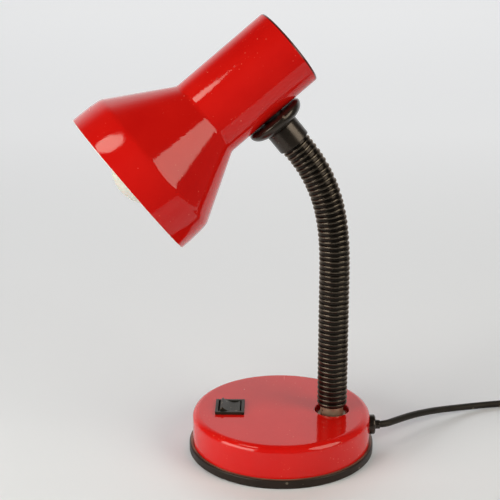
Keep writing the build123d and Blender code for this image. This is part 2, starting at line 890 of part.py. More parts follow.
def base_wires():
    block_left = block_x - block_length / 2
    block_right = block_x + block_length / 2
    near = block_y - block_width / 4
    far = block_y + block_width / 4
    bore = weight_top + block_height / 2
    blade = switch_bottom - terminal_length / 2
    step = 4 * wire_radius
    half = wire_spacing / 2
    aside = washer_radius + step
    left_blade = switch_x - terminal_offset + terminal_thickness / 2
    right_blade = switch_x + terminal_offset + terminal_thickness / 2
    low = weight_top + wire_rise
    cord_to_switch = [
        (cord_inner_end, -half, cord_exit_z),
        (cord_inner_end - step / 2, -half, cord_exit_z),
        (neck_x + step, -aside, cord_exit_z),
        (block_x, -aside - step, low),
        (right_blade + step, -bezel_width / 2, blade),
        (left_blade + step, 0, blade),
        (left_blade, 0, blade),
    ]
    cord_to_block = [
        (cord_inner_end, half, cord_exit_z),
        (cord_inner_end - step / 2, half, cord_exit_z),
        (neck_x + step, aside, cord_exit_z),
        (block_right + step, far + wire_radius, bore),
        (block_right, far + wire_radius, bore),
    ]
    switch_to_block = [
        (right_blade, 0, blade),
        (right_blade + step, 0, blade),
        (block_left - step, near, bore),
        (block_left, near, bore),
    ]
    routes = [cord_to_switch, cord_to_block, switch_to_block]
    for side, pole in ((-1, near), (1, far - wire_radius - seat_clearance)):
        routes.append([
            (neck_x, side * half, stud_end),
            (neck_x, side * half, stud_end - step),
            (neck_x - aside, step + side * half, low),
            (block_right + step, pole, bore),
            (block_right, pole, bore),
        ])
    return [bent_rod(points, wire_radius) for points in routes]


save("base_wires", *base_wires())

# Cord on the table, its put-away coil, tie and plug

coil_frame = Plane(origin=(coil_x, coil_y, 0), x_dir=(0, -1, 0), z_dir=up)
coil_pitch = cord_diameter + coil_turn_gap
coil_rest_z = tie_floor_gap + tie_thickness + tie_clearance + cord_radius
upper_z = coil_rest_z + cord_diameter + coil_layer_gap
plug_cord_z = plug_thickness / 2
tail_length = tail_level + tail_drop_run + tail_end


def coil_ends():
    """Places where the coil crosses its own X axis, one per half turn, from the floor layer up."""
    inner = coil_inner_radius
    lower = [inner] + [inner + coil_reverse_step + coil_pitch / 2 * i for i in range(coil_half_turns_in)]
    upper = [inner] + [inner + coil_reverse_step + coil_pitch / 2 * i for i in range(coil_half_turns_out)]
    reaches = [(r, coil_rest_z) for r in reversed(lower)] + [(r, upper_z) for r in upper]
    return [(-((-1) ** i) * r, 0, z) for i, (r, z) in enumerate(reaches)]


def coil_path():
    ends = [Vector(*p) for p in coil_ends()]
    lead = Vector(0, cord_diameter, 0)
    pieces = [Line(ends[0] - lead, ends[0])]
    for i, (a, b) in enumerate(zip(ends, ends[1:])):
        bulge = Vector(0, (-1) ** i * (b - a).length / 2, 0)
        pieces.append(ThreePointArc(a, (a + b) / 2 + bulge, b))
    x = ends[-1].X
    tail = [
        (x, 0, upper_z),
        (x, tail_level, upper_z),
        (x, tail_level + tail_drop_run, plug_cord_z),
        (x, tail_length, plug_cord_z),
    ]
    return pieces + FilletPolyline(*tail, radius=corner_radii(tail)).edges()


def least_self_gap(pieces, steps):
    """Smallest room between stretches of the coil that lie more than a quarter turn apart."""
    turns = pieces[1:len(coil_ends())]
    points = [turn @ (i / steps) for turn in turns for i in range(steps)]
    apart = steps // 2
    nearest = min((p - q).length for i, p in enumerate(points) for q in points[i + apart:])
    return nearest - cord_diameter


coil_pieces = coil_path()
coil_line = Wire(coil_pieces)
entry = (coil_frame.location * Pos(*(coil_line @ 0))).position
free_points = [
    (grommet_face, 0, cord_exit_z),
    (grommet_face + cord_stub, 0, cord_exit_z),
    *cord_route,
    (entry.X - coil_lead, entry.Y, entry.Z),
    (entry.X, entry.Y, entry.Z),
]
free_line = FilletPolyline(*free_points, radius=corner_radii(free_points))
power_cord = rod(free_line, cord_radius)
section = math.pi * cord_radius**2
print("cord radii in diameters:", [round(r / cord_diameter, 1) for r in corner_radii(free_points)])
coil = coil_frame.location * rod(coil_line, cord_radius)
for name, line, tube in (("free cord", free_line, power_cord), ("coil", coil_line, coil)):
    share = tube.volume / section / line.length
    print(name, "length:", round(line.length, 1), "volume share:", round(share, 4))
print("coil least self-gap:", round(least_self_gap(coil_pieces, 24), 2))


def cord_tie():
    outer = max(x for x, _, _ in coil_ends()) + cord_radius + tie_clearance
    inner = coil_inner_radius - cord_radius - tie_clearance
    bottom = coil_rest_z - cord_radius - tie_clearance
    top = upper_z + cord_radius + tie_clearance
    middle = (outer + inner) / 2
    band = block(outer - inner + 2 * tie_thickness, tie_width, bottom - tie_thickness, top + tie_thickness)
    band -= block(outer - inner, tie_width + overrun, bottom, top)
    head = Pos((outer - inner) / 2 + tie_thickness + tie_head_length / 2, 0, 0)
    band += head * block(tie_head_length, tie_width, bottom, bottom + tie_head_length)
    return Pos(middle, 0, 0) * band


plug_start = tail_length + plug_sleeve_length


def plug_body():
    """Flat two-pin plug, lying on the table, with Y along the pins and the cord at half its height."""
    half = plug_width / 2
    waist = half * plug_waist_share
    widest = plug_length / 3
    right = [(half, plug_length), (half, widest), (waist, 0)]
    left = [(-waist, 0), (-half, widest), (-half, plug_length)]
    body = extrude(make_face(Polyline(*left, *right, close=True)), plug_thickness)
    body = fillet(body.edges().filter_by(Axis.Z), plug_edge)
    body = fillet(body.edges().group_by(Axis.Z)[-1] + body.edges().group_by(Axis.Z)[0], plug_edge / 2)
    sleeve = turned([
        (0, 0),
        (cord_radius + plug_sleeve_wall, 0),
        (cord_radius + plug_sleeve_tip_wall, plug_sleeve_length + plug_edge),
        (0, plug_sleeve_length + plug_edge),
    ])
    return body + Pos(0, plug_edge, plug_cord_z) * Rot(90, 0, 0) * sleeve


def plug_pins():
    pin = Rot(-90, 0, 0) * disc(plug_pin_radius, 0, plug_pin_length)
    pin = chamfer(pin.edges().group_by(Axis.Y)[-1], plug_pin_tip)
    return [Pos(side * plug_pin_spacing / 2, plug_length, plug_cord_z) * pin for side in (-1, 1)]


plug_place = coil_frame.location * Pos(coil_ends()[-1][0], plug_start, 0)
save("power_cord", power_cord)
save("power_cord_coil", coil)
save("cord_tie", coil_frame.location * cord_tie())
save("plug_body", plug_place * plug_body())
save("plug_pins", *[plug_place * pin for pin in plug_pins()])
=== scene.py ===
# %% [markdown]
# # A red gooseneck desk lamp
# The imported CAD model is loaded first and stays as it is. Every piece made here sits where its solid
# sits, in the same frame, so nothing is fitted by eye. Lengths are written in millimetres, as a maker
# would say them, and turned into Blender's metres by one factor.

# %% Load the frame
import math

import bpy
from mathutils import Matrix, Vector


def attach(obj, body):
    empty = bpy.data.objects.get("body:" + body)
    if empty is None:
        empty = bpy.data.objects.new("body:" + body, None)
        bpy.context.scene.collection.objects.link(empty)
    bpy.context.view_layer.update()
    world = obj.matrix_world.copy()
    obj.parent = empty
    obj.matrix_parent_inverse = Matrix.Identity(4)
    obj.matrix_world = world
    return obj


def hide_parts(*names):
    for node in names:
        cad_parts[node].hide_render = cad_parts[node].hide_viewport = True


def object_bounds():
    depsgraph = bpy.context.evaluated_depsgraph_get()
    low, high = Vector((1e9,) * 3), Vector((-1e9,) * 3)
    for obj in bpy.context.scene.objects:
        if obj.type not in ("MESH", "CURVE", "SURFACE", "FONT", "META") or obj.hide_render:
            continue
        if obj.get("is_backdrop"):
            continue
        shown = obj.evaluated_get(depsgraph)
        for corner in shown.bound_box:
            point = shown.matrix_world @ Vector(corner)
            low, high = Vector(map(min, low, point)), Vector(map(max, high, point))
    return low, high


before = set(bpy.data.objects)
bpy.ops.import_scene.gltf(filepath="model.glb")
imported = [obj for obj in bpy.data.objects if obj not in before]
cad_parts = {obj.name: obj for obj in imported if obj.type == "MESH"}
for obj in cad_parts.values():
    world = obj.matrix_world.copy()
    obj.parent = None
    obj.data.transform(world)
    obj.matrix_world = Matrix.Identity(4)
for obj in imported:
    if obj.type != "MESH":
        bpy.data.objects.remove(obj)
cad_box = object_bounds()
MM = 0.001

# %% [markdown]
# ## Camera
# The picture was taken from the front, about 1.1 m away and looking down by 19 degrees. A long lens
# keeps the base's ellipse flat, so the lens is long here too.

# %% Camera
bpy.ops.object.select_all(action="DESELECT")
bpy.ops.object.camera_add(
    location=(0, -1.040, 0.517),
    rotation=(math.radians(71.01), 0, math.radians(1.31)),
)
camera = bpy.context.object
camera.data.sensor_width = 36
camera.data.lens = 108
bpy.context.scene.camera = camera
bpy.context.scene.view_settings.view_transform = "Standard"
print("camera:", tuple(round(x, 3) for x in camera.location))

# %% [markdown]
# ## Node helpers
# A finish is a node tree. A few helpers add nodes, arithmetic and groups to it, so that each finish below
# reads as a short recipe: which effect, at which scale, into which socket.

# %% Node helpers
def connect(tree, socket, value):
    """Sets a socket to a value, or links another node's output to it."""
    if isinstance(value, bpy.types.NodeSocket):
        tree.links.new(value, socket)
    else:
        socket.default_value = value


def add_node(tree, kind, menus=None, **values):
    node = tree.nodes.new(kind)
    for menu, choice in (menus or {}).items():
        setattr(node, menu, choice)
    for label, value in values.items():
        connect(tree, node.inputs[label.replace("_", " ")], value)
    return node


def calculate(tree, operation, *values, clamp=False):
    """One step of arithmetic on values that are numbers or other nodes' outputs."""
    node = add_node(tree, "ShaderNodeMath", {"operation": operation, "use_clamp": clamp})
    for socket, value in zip(node.inputs, values):
        connect(tree, socket, value)
    return node.outputs[0]


def ramp(tree, value, low, high, first=0.0, last=1.0, blend="LINEAR"):
    """Runs from first to last while the value runs from low to high."""
    node = add_node(
        tree, "ShaderNodeMapRange", {"interpolation_type": blend}, Value=value, From_Min=low, From_Max=high,
        To_Min=first, To_Max=last,
    )
    return node.outputs[0]


def mix_colours(tree, share, first, second):
    node = add_node(tree, "ShaderNodeMix", {"data_type": "RGBA"})
    for place, value in ((0, share), (6, first), (7, second)):
        connect(tree, node.inputs[place], value)
    return node.outputs[2]


def new_group(name, inputs, output):
    """An empty effect: its own inputs by name, and one output."""
    group = bpy.data.node_groups.new(name, "ShaderNodeTree")
    for label, value in inputs.items():
        kind = "NodeSocketVector" if value is None else "NodeSocketFloat"
        socket = group.interface.new_socket(label, in_out="INPUT", socket_type=kind)
        if value is not None:
            socket.default_value = value
    group.interface.new_socket(output, in_out="OUTPUT", socket_type="NodeSocketFloat")
    given = group.nodes.new("NodeGroupInput").outputs
    result = group.nodes.new("NodeGroupOutput").inputs[output]
    return group, given, result


def effect(tree, name, **values):
    node = add_node(tree, "ShaderNodeGroup", {"node_tree": bpy.data.node_groups[name]})
    for label, value in values.items():
        connect(tree, node.inputs[label], value)
    return node.outputs[0]


print("node helpers ready")

# %% [markdown]
# ## Shared effects
# Old enamel and old mouldings share the same small faults: the finish is a little uneven, there are
# specks of dust or chips, and fine scratches from wiping. Each is one group with its own scale, and
# each finish uses it with other numbers.

# %% Uneven: a slow drift between two values
group, given, result = new_group(
    "Uneven", {"Place": None, "Scale": 20.0, "Low": 0.0, "High": 1.0}, "Value"
)
clouds = add_node(group, "ShaderNodeTexNoise", Vector=given["Place"], Scale=given["Scale"], Detail=4.0)
connect(group, result, ramp(group, clouds.outputs[0], 0.32, 0.68, given["Low"], given["High"]))
print("effect:", group.name)

# %% Specks: small round spots, most cells empty
group, given, result = new_group(
    "Specks", {"Place": None, "Scale": 80.0, "Size": 0.08, "Share": 0.3}, "Mask"
)
cells = add_node(group, "ShaderNodeTexVoronoi", Vector=given["Place"], Scale=given["Scale"])
lot = add_node(group, "ShaderNodeSeparateColor", Color=cells.outputs["Color"])
chosen = calculate(group, "LESS_THAN", lot.outputs[0], given["Share"])
size = calculate(group, "MULTIPLY", given["Size"], lot.outputs[1])
spot = calculate(group, "LESS_THAN", cells.outputs["Distance"], size)
connect(group, result, calculate(group, "MULTIPLY", chosen, spot))
print("effect:", group.name)

# %% Scratches: the same spots, drawn out along one direction
group, given, result = new_group(
    "Scratches", {"Place": None, "Scale": 300.0, "Size": 0.2, "Share": 0.1}, "Mask"
)
stretch = add_node(
    group, "ShaderNodeMapping", Vector=given["Place"], Rotation=(0.5, 0.9, 0.6), Scale=(1.0, 0.035, 1.0)
)
streaks = effect(
    group, "Specks", Place=stretch.outputs[0], Scale=given["Scale"], Size=given["Size"], Share=given["Share"]
)
connect(group, result, streaks)
print("effect:", group.name)

# %% [markdown]
# ## Plain finishes
# Most pieces have one colour that drifts a little, a gloss that drifts a little, some specks, and a
# fine grain that catches the light. One recipe makes them all, from a moulding to a plated nut.

# %% Recipe for a plain finish
def start_finish(name, **sockets):
    material = bpy.data.materials.new(name)
    material.use_nodes = True
    tree = material.node_tree
    shader = tree.nodes["Principled BSDF"]
    for label, value in sockets.items():
        shader.inputs[label.replace("_", " ")].default_value = value
    place = add_node(tree, "ShaderNodeTexCoord").outputs["Object"]
    return material, tree, shader, place


def grain_bump(tree, shader, place, scale, strength, depth):
    grain = effect(tree, "Uneven", Place=place, Scale=scale)
    bump = add_node(tree, "ShaderNodeBump", Height=grain, Strength=strength, Distance=depth * MM)
    connect(tree, shader.inputs["Normal"], bump.outputs[0])


def plain_finish(name, dark, light, gloss, grain=900.0, strength=0.15, speck=None, **sockets):
    """Colour between dark and light, roughness between the two values of gloss, and a fine grain."""
    material, tree, shader, place = start_finish(name, **sockets)
    share = effect(tree, "Uneven", Place=place, Scale=45.0)
    colour = mix_colours(tree, share, (*dark, 1), (*light, 1))
    if speck:
        spots = effect(tree, "Specks", Place=place, Scale=260.0, Size=0.3, Share=0.25)
        colour = mix_colours(tree, spots, colour, (*speck, 1))
    connect(tree, shader.inputs["Base Color"], colour)
    wiped = effect(tree, "Uneven", Place=place, Scale=70.0, Low=gloss[0], High=gloss[1])
    connect(tree, shader.inputs["Roughness"], wiped)
    grain_bump(tree, shader, place, grain, strength, 0.2)
    return material


print("plain finish recipe ready")

# %% Plain finishes that show outside
dust = (0.13, 0.11, 0.085)
tarnish = (0.05, 0.03, 0.02)
warm = (1.0, 0.86, 0.75, 1)
finishes = {
    "foot_black": plain_finish(
        "foot black", (0.011, 0.008, 0.0065), (0.017, 0.0125, 0.010), (0.34, 0.48), 1400, 0.2, dust,
        Specular_Tint=warm, Specular_IOR_Level=0.25,
    ),
    "satin_black": plain_finish(
        "satin black", (0.011, 0.009, 0.007), (0.018, 0.0145, 0.011), (0.20, 0.30), 1100, 0.1, dust,
        Specular_Tint=warm,
    ),
    "dome_black": plain_finish(
        "dome black", (0.011, 0.009, 0.007), (0.017, 0.014, 0.011), (0.18, 0.27), 1100, 0.05, dust,
        Specular_Tint=warm,
    ),
    "switch_black": plain_finish(
        "switch black", (0.012, 0.0105, 0.008), (0.019, 0.017, 0.013), (0.34, 0.46), 1600, 0.2, dust,
        Specular_Tint=warm, Specular_IOR_Level=0.3,
    ),
    "cord_black": plain_finish(
        "cord black", (0.011, 0.010, 0.0085), (0.019, 0.017, 0.014), (0.42, 0.56), 700, 0.25, dust,
        Specular_Tint=warm, Specular_IOR_Level=0.2,
    ),
    "plug_black": plain_finish(
        "plug black", (0.020, 0.019, 0.017), (0.031, 0.029, 0.026), (0.42, 0.58), 1500, 0.25, dust,
    ),
    "bronze": plain_finish(
        "dull bronze", (0.24, 0.17, 0.115), (0.42, 0.32, 0.23), (0.34, 0.5), 600, 0.2, tarnish,
        Metallic=0.45,
    ),
    "nickel": plain_finish(
        "nickel plate", (0.58, 0.55, 0.49), (0.72, 0.69, 0.63), (0.18, 0.3), Metallic=1.0,
    ),
}
print("finishes outside:", len(finishes))

# %% Plain finishes of what is inside
finishes |= {
    "spacer_black": plain_finish("spacer black", (0.02, 0.02, 0.02), (0.03, 0.03, 0.03), (0.4, 0.5)),
    "weight_iron": plain_finish(
        "rough cast", (0.05, 0.05, 0.05), (0.11, 0.10, 0.09), (0.6, 0.85), 300, 0.8,
    ),
    "steel": plain_finish(
        "zinc plate", (0.42, 0.43, 0.44), (0.58, 0.58, 0.56), (0.28, 0.45), 500, 0.2, Metallic=1.0,
    ),
    "white_moulding": plain_finish(
        "white moulding", (0.70, 0.68, 0.62), (0.80, 0.79, 0.74), (0.4, 0.5),
    ),
    "wire_sleeve": plain_finish("wire sleeve", (0.34, 0.30, 0.26), (0.42, 0.38, 0.33), (0.45, 0.55)),
    "holder_moulding": plain_finish(
        "glazed white", (0.70, 0.67, 0.60), (0.78, 0.76, 0.70), (0.12, 0.2),
    ),
    "holder_brass": plain_finish(
        "bright brass", (0.55, 0.38, 0.14), (0.68, 0.50, 0.22), (0.2, 0.34), Metallic=1.0,
    ),
    "cap_metal": plain_finish(
        "rolled cap", (0.55, 0.55, 0.54), (0.70, 0.70, 0.69), (0.25, 0.4), Metallic=1.0,
    ),
    "stem_glass": plain_finish("stem glass", (0.80, 0.83, 0.80), (0.88, 0.90, 0.87), (0.05, 0.1)),
    "neck_cable": plain_finish("cable sleeve", (0.60, 0.58, 0.52), (0.70, 0.68, 0.62), (0.45, 0.55)),
}
print("plain finishes:", len(finishes))

# %% [markdown]
# ## Cord
# The lead is a fixed length of soft black flex. It leaves the grommet level, sinks to the table, runs
# out of the picture on the right, and the rest is wound up in a tied coil beside its plug. One smooth
# spline carries it all: the route's points first, then the points of the coil's half turns.

# %% Route of the cord, in millimetres
cord_height = 19.3
low_level = 3.9
top_level = 9.8
plug_level = 7.0
cord_route = [
    (71.6, 0, cord_height), (78.6, 0, cord_height), (88, 9.5, 18.3), (102.5, 25.5, 15.6),
    (119, 42.5, 11.2), (137, 57.5, 6.6), (157, 69.5, 3.4), (181, 76.5, 2.75), (206, 79.6, 2.75),
    (224.0, 80.8, low_level), (236.0, 80.8, low_level),
]
coil_middle = (243.0, 38.6)
turns_in = [39.3, 36.4, 33.5, 30.6, 27.7, 24.8, 21.2]
coil_ends = [(reach, low_level) for reach in [42.2] + turns_in]
coil_ends += [(reach, top_level) for reach in reversed(turns_in)]
tail_line = -turns_in[0]
coil_tail = [
    (tail_line, 8.0, top_level), (tail_line, 18.0, top_level), (tail_line, 30.0, plug_level),
    (tail_line, 37.0, plug_level), (tail_line, 41.0, plug_level),
]
points_per_half_turn = 8


def from_coil(across, along, height):
    """A point of the coil's own frame, whose across runs to the front and along to the right."""
    return (coil_middle[0] + along, coil_middle[1] - across, height)


def coil_points():
    """Points a little outside each half turn, because the spline runs a little inside its points."""
    ends = [(-((-1) ** i) * reach, z) for i, (reach, z) in enumerate(coil_ends)]
    step = math.pi / points_per_half_turn
    spare = 1 / (0.75 + 0.25 * math.cos(step))
    points = []
    for i, ((a, az), (b, bz)) in enumerate(zip(ends, ends[1:])):
        for j in range(points_per_half_turn):
            angle = step * (j + 0.5)
            across = (a + b) / 2 + (a - b) / 2 * math.cos(angle) * spare
            along = (-1) ** i * abs(a - b) / 2 * math.sin(angle) * spare
            height = az + (bz - az) * (1 - math.cos(angle)) / 2
            points.append(from_coil(across, along, height))
    return points


cord_points = cord_route + coil_points() + [from_coil(*p) for p in coil_tail]
print("cord points:", len(cord_points))

# %% Cord as one smooth spline
cord_diameter = 5.3
cord_line = bpy.data.curves.new("power_flex", "CURVE")
cord_line.dimensions = "3D"
spline = cord_line.splines.new("NURBS")
spline.points.add(len(cord_points) - 1)
for point, place in zip(spline.points, cord_points):
    point.co = (*(x * MM for x in place), 1)
spline.order_u = 3
spline.use_endpoint_u = True
cord_line.resolution_u = 6
cord_line.bevel_depth = cord_diameter / 2 * MM
cord_line.bevel_resolution = 5
cord_line.use_fill_caps = True
power_flex = bpy.data.objects.new("power_flex", cord_line)
bpy.context.scene.collection.objects.link(power_flex)
cord_line.materials.append(finishes["cord_black"])
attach(power_flex, "base")
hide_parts("power_cord", "power_cord_coil")
print("cord:", cord_diameter, "mm thick")

# %% [markdown]
# ## Turning pieces on a lathe
# Nearly every piece of this lamp is round, so most are made as on a lathe: one point is drawn along the
# half section by extruding it, and the line is spun round the axis. Corners that are rounded on the real
# piece are rounded in the half section, which keeps the rings of faces even.

# %% Half sections
def eased(corners, steps=5):
    """An outline whose corners are (radius, height), or (radius, height, rounding) where they are soft."""
    points = []
    for i, corner in enumerate(corners):
        here = Vector(corner[:2])
        if len(corner) == 2:
            points.append(tuple(here))
            continue
        rounding = corner[2]
        before = (Vector(corners[i - 1][:2]) - here).normalized()
        after = (Vector(corners[i + 1][:2]) - here).normalized()
        half = before.angle(after) / 2
        middle = here + (before + after).normalized() * rounding / math.sin(half)
        first = here + before * rounding / math.tan(half) - middle
        last = here + after * rounding / math.tan(half) - middle
        start = math.atan2(first.y, first.x)
        sweep = (math.atan2(last.y, last.x) - start + math.pi) % math.tau - math.pi
        for step in range(steps + 1):
            angle = start + sweep * step / steps
            points.append((middle.x + rounding * math.cos(angle), middle.y + rounding * math.sin(angle)))
    return points


def rod(radius, bottom, top):
    """Half section of a plain round bar."""
    return [(0, bottom), (radius, bottom), (radius, top), (0, top)]


print("half sections ready")

# %% Lathe helpers
def select_only(piece):
    bpy.ops.object.select_all(action="DESELECT")
    piece.select_set(True)
    bpy.context.view_layer.objects.active = piece


def drawn_line(name, steps_mm):
    """A new piece in edit mode: one point, moved to its start and then extruded from step to step."""
    bpy.ops.object.select_all(action="DESELECT")
    bpy.ops.mesh.primitive_plane_add(size=MM)
    piece = bpy.context.object
    piece.name = name
    piece.data.name = name
    bpy.ops.object.mode_set(mode="EDIT")
    bpy.ops.mesh.select_all(action="SELECT")
    bpy.ops.mesh.merge(type="CENTER")
    bpy.ops.transform.translate(value=[x * MM for x in steps_mm[0]])
    for before, after in zip(steps_mm, steps_mm[1:]):
        step = [(b - a) * MM for a, b in zip(before, after)]
        bpy.ops.mesh.extrude_region_move(TRANSFORM_OT_translate={"value": step})
    return piece


def tidy_mesh():
    """Merges the doubles that a spin leaves, and turns all faces outwards."""
    bpy.ops.mesh.select_all(action="SELECT")
    bpy.ops.mesh.remove_doubles(threshold=0.001 * MM)
    bpy.ops.mesh.normals_make_consistent(inside=False)


def turned(name, outline, steps):
    piece = drawn_line(name, [(r, 0, z) for r, z in outline])
    bpy.ops.mesh.select_all(action="SELECT")
    bpy.ops.mesh.spin(steps=steps, angle=math.tau, center=(0, 0, 0), axis=(0, 0, 1))
    tidy_mesh()
    bpy.ops.object.mode_set(mode="OBJECT")
    return piece


print("lathe ready")

# %% Placing helpers
def put(piece, place):
    """Moves a piece to its place and leaves its object at the origin."""
    select_only(piece)
    piece.matrix_world = place
    bpy.ops.object.transform_apply(location=True, rotation=True, scale=True)


def moved(x, y, z):
    return Matrix.Translation((x * MM, y * MM, z * MM))


def turn(degrees, axis):
    return Matrix.Rotation(math.radians(degrees), 4, axis)


print("placing helpers ready")

# %% Finishing helpers
def apply_modifier(piece, kind, **settings):
    modifier = piece.modifiers.new(kind.lower(), kind)
    for label, value in settings.items():
        setattr(modifier, label, value)
    select_only(piece)
    bpy.ops.object.modifier_apply(modifier=modifier.name)


def cut(piece, tool, operation="DIFFERENCE"):
    apply_modifier(piece, "BOOLEAN", operation=operation, object=tool, solver="EXACT")
    bpy.data.objects.remove(tool)


def broken_edges(piece, width):
    limit = math.radians(40)
    apply_modifier(piece, "BEVEL", width=width * MM, segments=3, limit_method="ANGLE", angle_limit=limit)


def smoothed(piece, angle=35):
    """Soft shading below an angle, with the large flat faces keeping their own normals."""
    select_only(piece)
    bpy.ops.object.shade_smooth_by_angle(angle=math.radians(angle))
    apply_modifier(piece, "WEIGHTED_NORMAL", keep_sharp=True)


def hand_over(piece, body, slot, *nodes, finish=None):
    """Gives a finished piece its finish, its body and the solids that it stands for."""
    if not piece.data.materials:
        piece.data.materials.append(finish or finishes[slot])
    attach(piece, body)
    if nodes:
        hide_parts(*nodes)
    print(piece.name, len(piece.data.polygons), "faces on", body)


print("finishing helpers ready")

# %% [markdown]
# ## Red enamel
# The drum and the shade are stove-enamelled steel: a deep, wet red that mirrors the room, with a faint
# orange peel, a few dark chips, pale dust specks and fine wiping marks. The colour itself hardly changes;
# it is the gloss and the small faults that make it look old. Along the rim of the shade's closed end, a
# darker ring is painted into the red, where the mesh marks it in an attribute.

# %% Red enamel
def enamel(name):
    material, tree, shader, place = start_finish(name, IOR=1.4)
    share = effect(tree, "Uneven", Place=place, Scale=22.0)
    colour = mix_colours(tree, share, (0.56, 0.0052, 0.0036, 1), (0.62, 0.0085, 0.0052, 1))
    wiped = effect(tree, "Scratches", Place=place, Scale=260.0, Size=0.12, Share=0.22)
    colour = mix_colours(tree, wiped, colour, (0.64, 0.04, 0.03, 1))
    fine = effect(tree, "Specks", Place=place, Scale=480.0, Size=0.26, Share=0.35)
    patches = effect(tree, "Uneven", Place=place, Scale=26.0, Low=-0.4, High=0.8)
    clustered = calculate(tree, "MULTIPLY", fine, patches, clamp=True)
    colour = mix_colours(tree, clustered, colour, (0.78, 0.13, 0.085, 1))
    pale = effect(tree, "Specks", Place=place, Scale=170.0, Size=0.08, Share=0.1)
    colour = mix_colours(tree, pale, colour, (0.74, 0.24, 0.19, 1))
    chips = effect(tree, "Specks", Place=place, Scale=62.0, Size=0.075, Share=0.16)
    colour = mix_colours(tree, chips, colour, (0.12, 0.012, 0.010, 1))
    # A darker ring is painted where the mesh marks the rim of the tube's closed end.
    dark_end_ring = add_node(tree, "ShaderNodeAttribute", {"attribute_name": "dark_end_ring"}).outputs["Fac"]
    colour = mix_colours(tree, dark_end_ring, colour, (0.08, 0.010, 0.008, 1))
    connect(tree, shader.inputs["Base Color"], colour)
    gloss = effect(tree, "Uneven", Place=place, Scale=30.0, Low=0.035, High=0.10)
    dulling = 0.3
    dull = calculate(tree, "MULTIPLY_ADD", wiped, dulling, gloss, clamp=True)
    connect(tree, shader.inputs["Roughness"], dull)
    grain_bump(tree, shader, place, 300.0, 0.07, 0.3)
    return material


finishes["red_enamel"] = enamel("red enamel")
finishes["lining_white"] = plain_finish(
    "white lining", (0.66, 0.63, 0.56), (0.74, 0.72, 0.66), (0.3, 0.42)
)
print("red enamel and white lining ready")

# %% [markdown]
# ## Base drum
# A shallow drum pressed from sheet: flat top, soft shoulder, open below. A cup is sunk into the top for
# the neck, a window is cut for the switch and a hole for the cord. The shell is turned with its wall, the
# cup's wall is joined to it, and the holes are cut with turned and square tools, as a press would.

# %% Tools for holes
def box(name, size, centre):
    """A square block, for cutting or for shaping further."""
    bpy.ops.object.select_all(action="DESELECT")
    bpy.ops.mesh.primitive_cube_add(size=1)
    block = bpy.context.object
    block.name = name
    block.data.name = name
    bpy.ops.object.mode_set(mode="EDIT")
    bpy.ops.transform.resize(value=[s * MM for s in size])
    bpy.ops.object.mode_set(mode="OBJECT")
    put(block, moved(*centre))
    return block


def cut_round(piece, name, outline, place, steps=36, operation="DIFFERENCE"):
    """Turns a tool, sets it in its place and cuts the piece with it, or joins it on."""
    tool = turned(name, outline, steps)
    put(tool, place)
    cut(piece, tool, operation)


print("hole tools ready")

# %% Base drum
drum_top = 31.6
drum_foot = 3.0
drum_radius = 67.3
sheet = 1.2
shoulder = 5.4
inner_ring = 50
outer_ring = 57
neck_x = 38.4
switch_x = -39.0
drum_inner = drum_radius - sheet
drum_ceiling = drum_top - sheet
drum = turned("base_drum", eased([
    (0, drum_top), (inner_ring, drum_top), (outer_ring, drum_top), (drum_radius, drum_top, shoulder),
    (drum_radius, 8.0), (drum_radius, drum_foot, 0.3), (drum_inner, drum_foot),
    (drum_inner, drum_ceiling, shoulder - sheet), (inner_ring, drum_ceiling), (0, drum_ceiling),
], steps=12), 144)
print(drum.name, len(drum.data.polygons), "faces before its holes")

# %% Cup and holes of the drum
cup_radius = 12.85
cup_floor = 27.05
cup_mouth = 14.4
over_drum = 34.0
neck_spot = moved(neck_x, 0, 0)
cord_axis = moved(0, 0, cord_height) @ turn(90, "Y")
cup_wall = rod(cup_radius + sheet, cup_floor - sheet, 31.0)
cut_round(drum, "cup_wall", cup_wall, neck_spot, 72, "UNION")
cup = eased([
    (0, cup_floor), (cup_radius, cup_floor, 0.5), (cup_radius, drum_top, 0.8), (cup_mouth, drum_top),
    (cup_mouth, over_drum), (0, over_drum),
])
cut_round(drum, "cup", cup, neck_spot, 72)
cut_round(drum, "stud_hole", rod(5.1, 20, 30), neck_spot)
cut(drum, box("switch_window", (20.4, 22.4, 8.0), (switch_x, 0, drum_top)))
cut_round(drum, "cord_hole", rod(5.5, 60, 72), cord_axis)
smoothed(drum)
hand_over(drum, "base", "red_enamel", "base_housing")

# %% [markdown]
# ## Neck finish
# The neck is almost black. Its grooves are painted near-black as painted shade, and the crests of its ribs
# are brown and rubbed bright in patches, partly wear and partly a painted glint. How far a point stands out
# is stored on the mesh when the link is turned, so that shade and wear follow the rib at any bend.

# %% Neck finish
def ribs_with_painted_shade(name):
    material, tree, shader, place = start_finish(name, Metallic=0.7, Specular_Tint=warm)
    crest = add_node(tree, "ShaderNodeAttribute", {"attribute_name": "crest"}).outputs["Fac"]
    share = effect(tree, "Uneven", Place=place, Scale=90.0)
    colour = mix_colours(tree, share, (0.031, 0.025, 0.0185, 1), (0.056, 0.046, 0.034, 1))
    # Painted shade: the grooves are painted near-black, darker the deeper they lie.
    clear_of_groove_shade = ramp(tree, crest, 0.3, 0.95)
    colour = mix_colours(tree, clear_of_groove_shade, (0.010, 0.0082, 0.0068, 1), colour)
    # Rubbed wear and painted glint: the crests are painted brighter in patches.
    rubbed_and_glint = ramp(tree, crest, 0.8, 1.0, 0.0, 0.6)
    patches = effect(tree, "Uneven", Place=place, Scale=60.0, Low=0.25, High=1.0)
    patchy = calculate(tree, "MULTIPLY", rubbed_and_glint, patches)
    colour = mix_colours(tree, patchy, colour, (0.16, 0.14, 0.11, 1))
    connect(tree, shader.inputs["Base Color"], colour)
    gloss = effect(tree, "Uneven", Place=place, Scale=120.0, Low=0.17, High=0.29)
    connect(tree, shader.inputs["Roughness"], gloss)
    grain_bump(tree, shader, place, 1500.0, 0.12, 0.2)
    return material


finishes["neck_dark"] = ribs_with_painted_shade("neck ribs with painted groove shade and glints")
print("neck finish ready")

